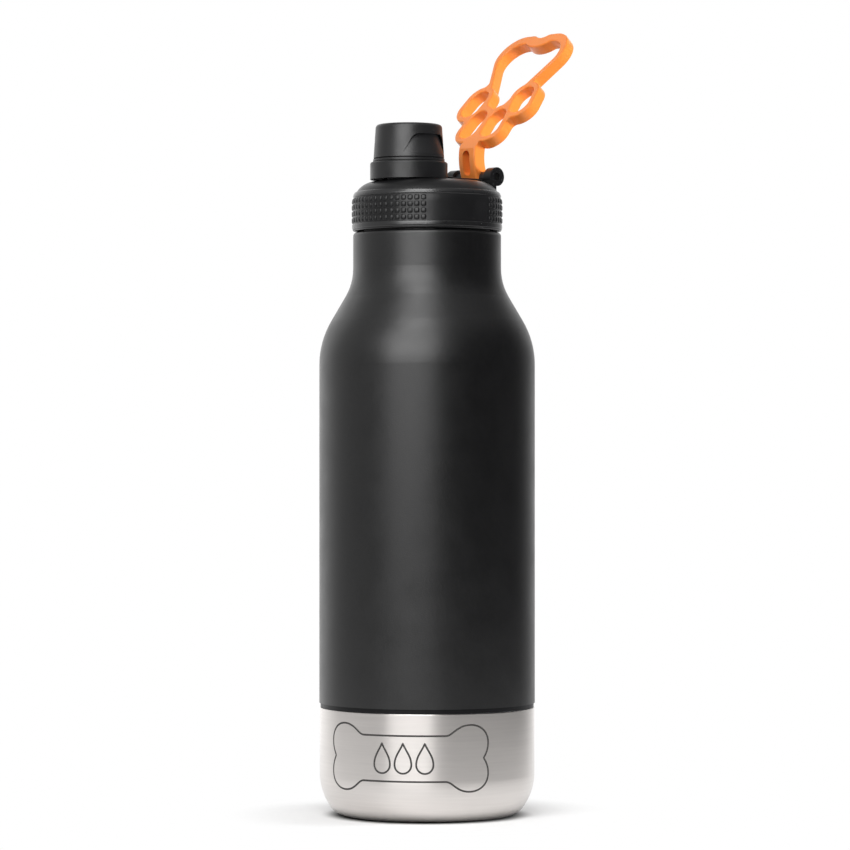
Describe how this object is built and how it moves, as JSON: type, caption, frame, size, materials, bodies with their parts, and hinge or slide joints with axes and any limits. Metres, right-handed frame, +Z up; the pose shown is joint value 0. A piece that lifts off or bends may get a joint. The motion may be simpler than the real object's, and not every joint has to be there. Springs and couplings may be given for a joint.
{
  "type": "dog travel water bottle",
  "caption": "Insulated steel travel bottle for dogs that screws into its own drinking bowl, with a tethered screw cap and a paw-shaped carry handle.",
  "frame": {"origin": "middle of the bowl's flat bottom, on the bottle's axis", "axes": "+Z up along the bottle's axis, +X towards the handle hinge, the hinge pin runs along Y, and the screw cap stands on the -X side"},
  "size_m": [0.1157, 0.09, 0.3302],
  "materials": {
    "bowl_steel": "brushed round the bowl",
    "black_plastic": "fine matt moulding",
    "seal_silicone": "smooth translucent grey silicone",
    "black_powder_coat": "matt black powder coat with a fine grain",
    "liner_steel": "electro-polished steel",
    "getter_metal": "sintered metal",
    "glass_bead": "fused solder glass",
    "core_plastic": "smooth moulding",
    "lid_plastic": "satin moulding",
    "pin_steel": "plain steel pin",
    "tether_plastic": "satin flexible moulding",
    "orange_soft_plastic": "soft satin-gloss plastic"
  },
  "bodies": {
    "bowl": {"steel_bowl": "bowl_steel", "bowl_thread_ring": "black_plastic"},
    "base_gasket": {"base_seal": "seal_silicone"},
    "bottle": {"base_thread_ring": "black_plastic", "outer_shell": "black_powder_coat", "inner_liner": "liner_steel", "base_plate": "liner_steel", "vacuum_getter": "getter_metal", "vacuum_seal_bead": "glass_bead"},
    "lid_gasket": {"lid_seal": "seal_silicone"},
    "lid": {"lid_core": "core_plastic", "lid_shell": "lid_plastic", "hinge_pin": "pin_steel", "strap_knuckles": "tether_plastic", "retainer_strap": "tether_plastic"},
    "cap_ring": {"retainer_ring": "tether_plastic"},
    "cap": {"cap_shell": "lid_plastic", "cap_insert": "core_plastic", "cap_seal": "seal_silicone"},
    "handle": {"carry_handle": "orange_soft_plastic"}
  },
  "joints": [
    {"name": "bottle_lift", "type": "slide", "parent": "bowl", "child": "base_gasket", "axis": [0, 0, 1], "range_m": [0, 0.009]},
    {"name": "bottle_turn", "type": "hinge", "parent": "base_gasket", "child": "bottle", "pos_m": [0, 0, 0], "axis": [0, 0, 1], "range_deg": [0, 540]},
    {"name": "lid_lift", "type": "slide", "parent": "bottle", "child": "lid_gasket", "axis": [0, 0, 1], "range_m": [0, 0.01]},
    {"name": "lid_turn", "type": "hinge", "parent": "lid_gasket", "child": "lid", "pos_m": [0, 0, 0], "axis": [0, 0, 1], "range_deg": [0, 720]},
    {"name": "cap_lift", "type": "slide", "parent": "lid", "child": "cap_ring", "axis": [0, 0, 1], "range_m": [0, 0.0075], "deforming": ["retainer_strap"]},
    {"name": "cap_turn", "type": "hinge", "parent": "cap_ring", "child": "cap", "pos_m": [-0.0102, 0, 0], "axis": [0, 0, 1], "range_deg": [0, 900]},
    {"name": "handle_swing", "type": "hinge", "parent": "lid", "child": "handle", "pos_m": [0.0271, 0, 0.2667], "axis": [0, 1, 0], "range_deg": [-60, 95]}
  ],
  "couplings": [
    {"joint": "bottle_turn", "follows": "bottle_lift", "rad_per_m": 1047.2},
    {"joint": "lid_turn", "follows": "lid_lift", "rad_per_m": 1256.6},
    {"joint": "cap_turn", "follows": "cap_lift", "rad_per_m": 2094.4}
  ]
}
